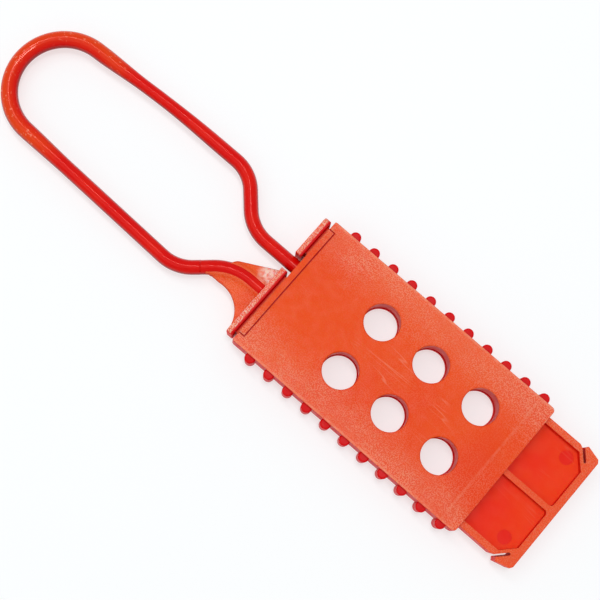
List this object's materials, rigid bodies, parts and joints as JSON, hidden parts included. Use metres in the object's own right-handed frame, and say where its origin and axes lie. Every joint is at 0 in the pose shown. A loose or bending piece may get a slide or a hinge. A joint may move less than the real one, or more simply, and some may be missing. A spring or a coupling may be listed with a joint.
{
  "type": "lockout hasp",
  "caption": "Flat plastic lockout hasp: a rib-sided sliding sleeve pierced for padlocks over a carriage, and a long rod shackle whose free leg lifts out when the sleeve slides back.",
  "frame": {"origin": "under the middle of the overall length and width, on the plane of the back face", "axes": "+X towards the shackle loop, +Z out of the front face, +Y towards the fixed leg"},
  "size_m": [0.1828, 0.044, 0.0097],
  "materials": {
    "sleeve_nylon": "spark-eroded, faintly scuffed",
    "carriage_nylon": "fine mould grain",
    "shackle_nylon": "smooth, glossy"
  },
  "bodies": {
    "carriage": {"inner_carriage": "carriage_nylon", "shackle_anchor": "shackle_nylon"},
    "sleeve": {"outer_sleeve": "sleeve_nylon"},
    "shackle": {"shackle_loop": "shackle_nylon"}
  },
  "joints": [
    {"name": "sleeve_slide", "type": "slide", "parent": "carriage", "child": "sleeve", "axis": [-1, 0, 0], "range_m": [0, 0.0115]},
    {"name": "shackle_twist", "type": "hinge", "parent": "carriage", "child": "shackle", "pos_m": [0.0086, 0.0074, 0.006], "axis": [-0.9578, -0.2874, 0], "range_deg": [0, 47]}
  ],
  "couplings": [
    {"joint": "shackle_twist", "follows": "sleeve_slide", "rad_per_m": 71.324}
  ]
}
